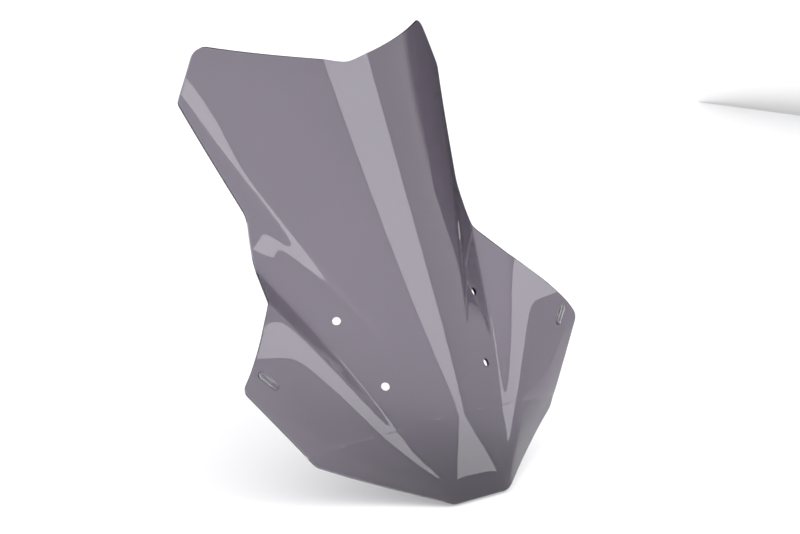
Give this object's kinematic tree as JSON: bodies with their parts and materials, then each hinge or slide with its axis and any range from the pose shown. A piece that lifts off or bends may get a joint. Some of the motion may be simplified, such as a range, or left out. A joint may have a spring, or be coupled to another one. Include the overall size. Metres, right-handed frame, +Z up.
{
  "type": "motorcycle windshield screen",
  "caption": "Tall faceted touring windshield of smoke-tinted acrylic with flared lower wings, a central crest and fixing holes; touring style.",
  "frame": {"origin": "centre of the bounding box in X and Y, at its lowest point in Z, with the screen leaning back as it does on the motorcycle", "axes": "+Z up, +X towards the right-hand side of a view from the front, +Y rearward, towards the rider; the screen is mirror-symmetric about X = 0"},
  "size_m": [0.41, 0.3116, 0.422],
  "materials": {
    "tinted_acrylic": "polished, transparent smoke grey",
    "badge_foil": "brushed metallic foil",
    "badge_dome": "clear gloss poured resin"
  },
  "bodies": {
    "root": {"screen_sheet": "tinted_acrylic", "badge_foil_left": "badge_foil", "badge_dome_left": "badge_dome", "badge_foil_right": "badge_foil", "badge_dome_right": "badge_dome"}
  },
  "joints": []
}
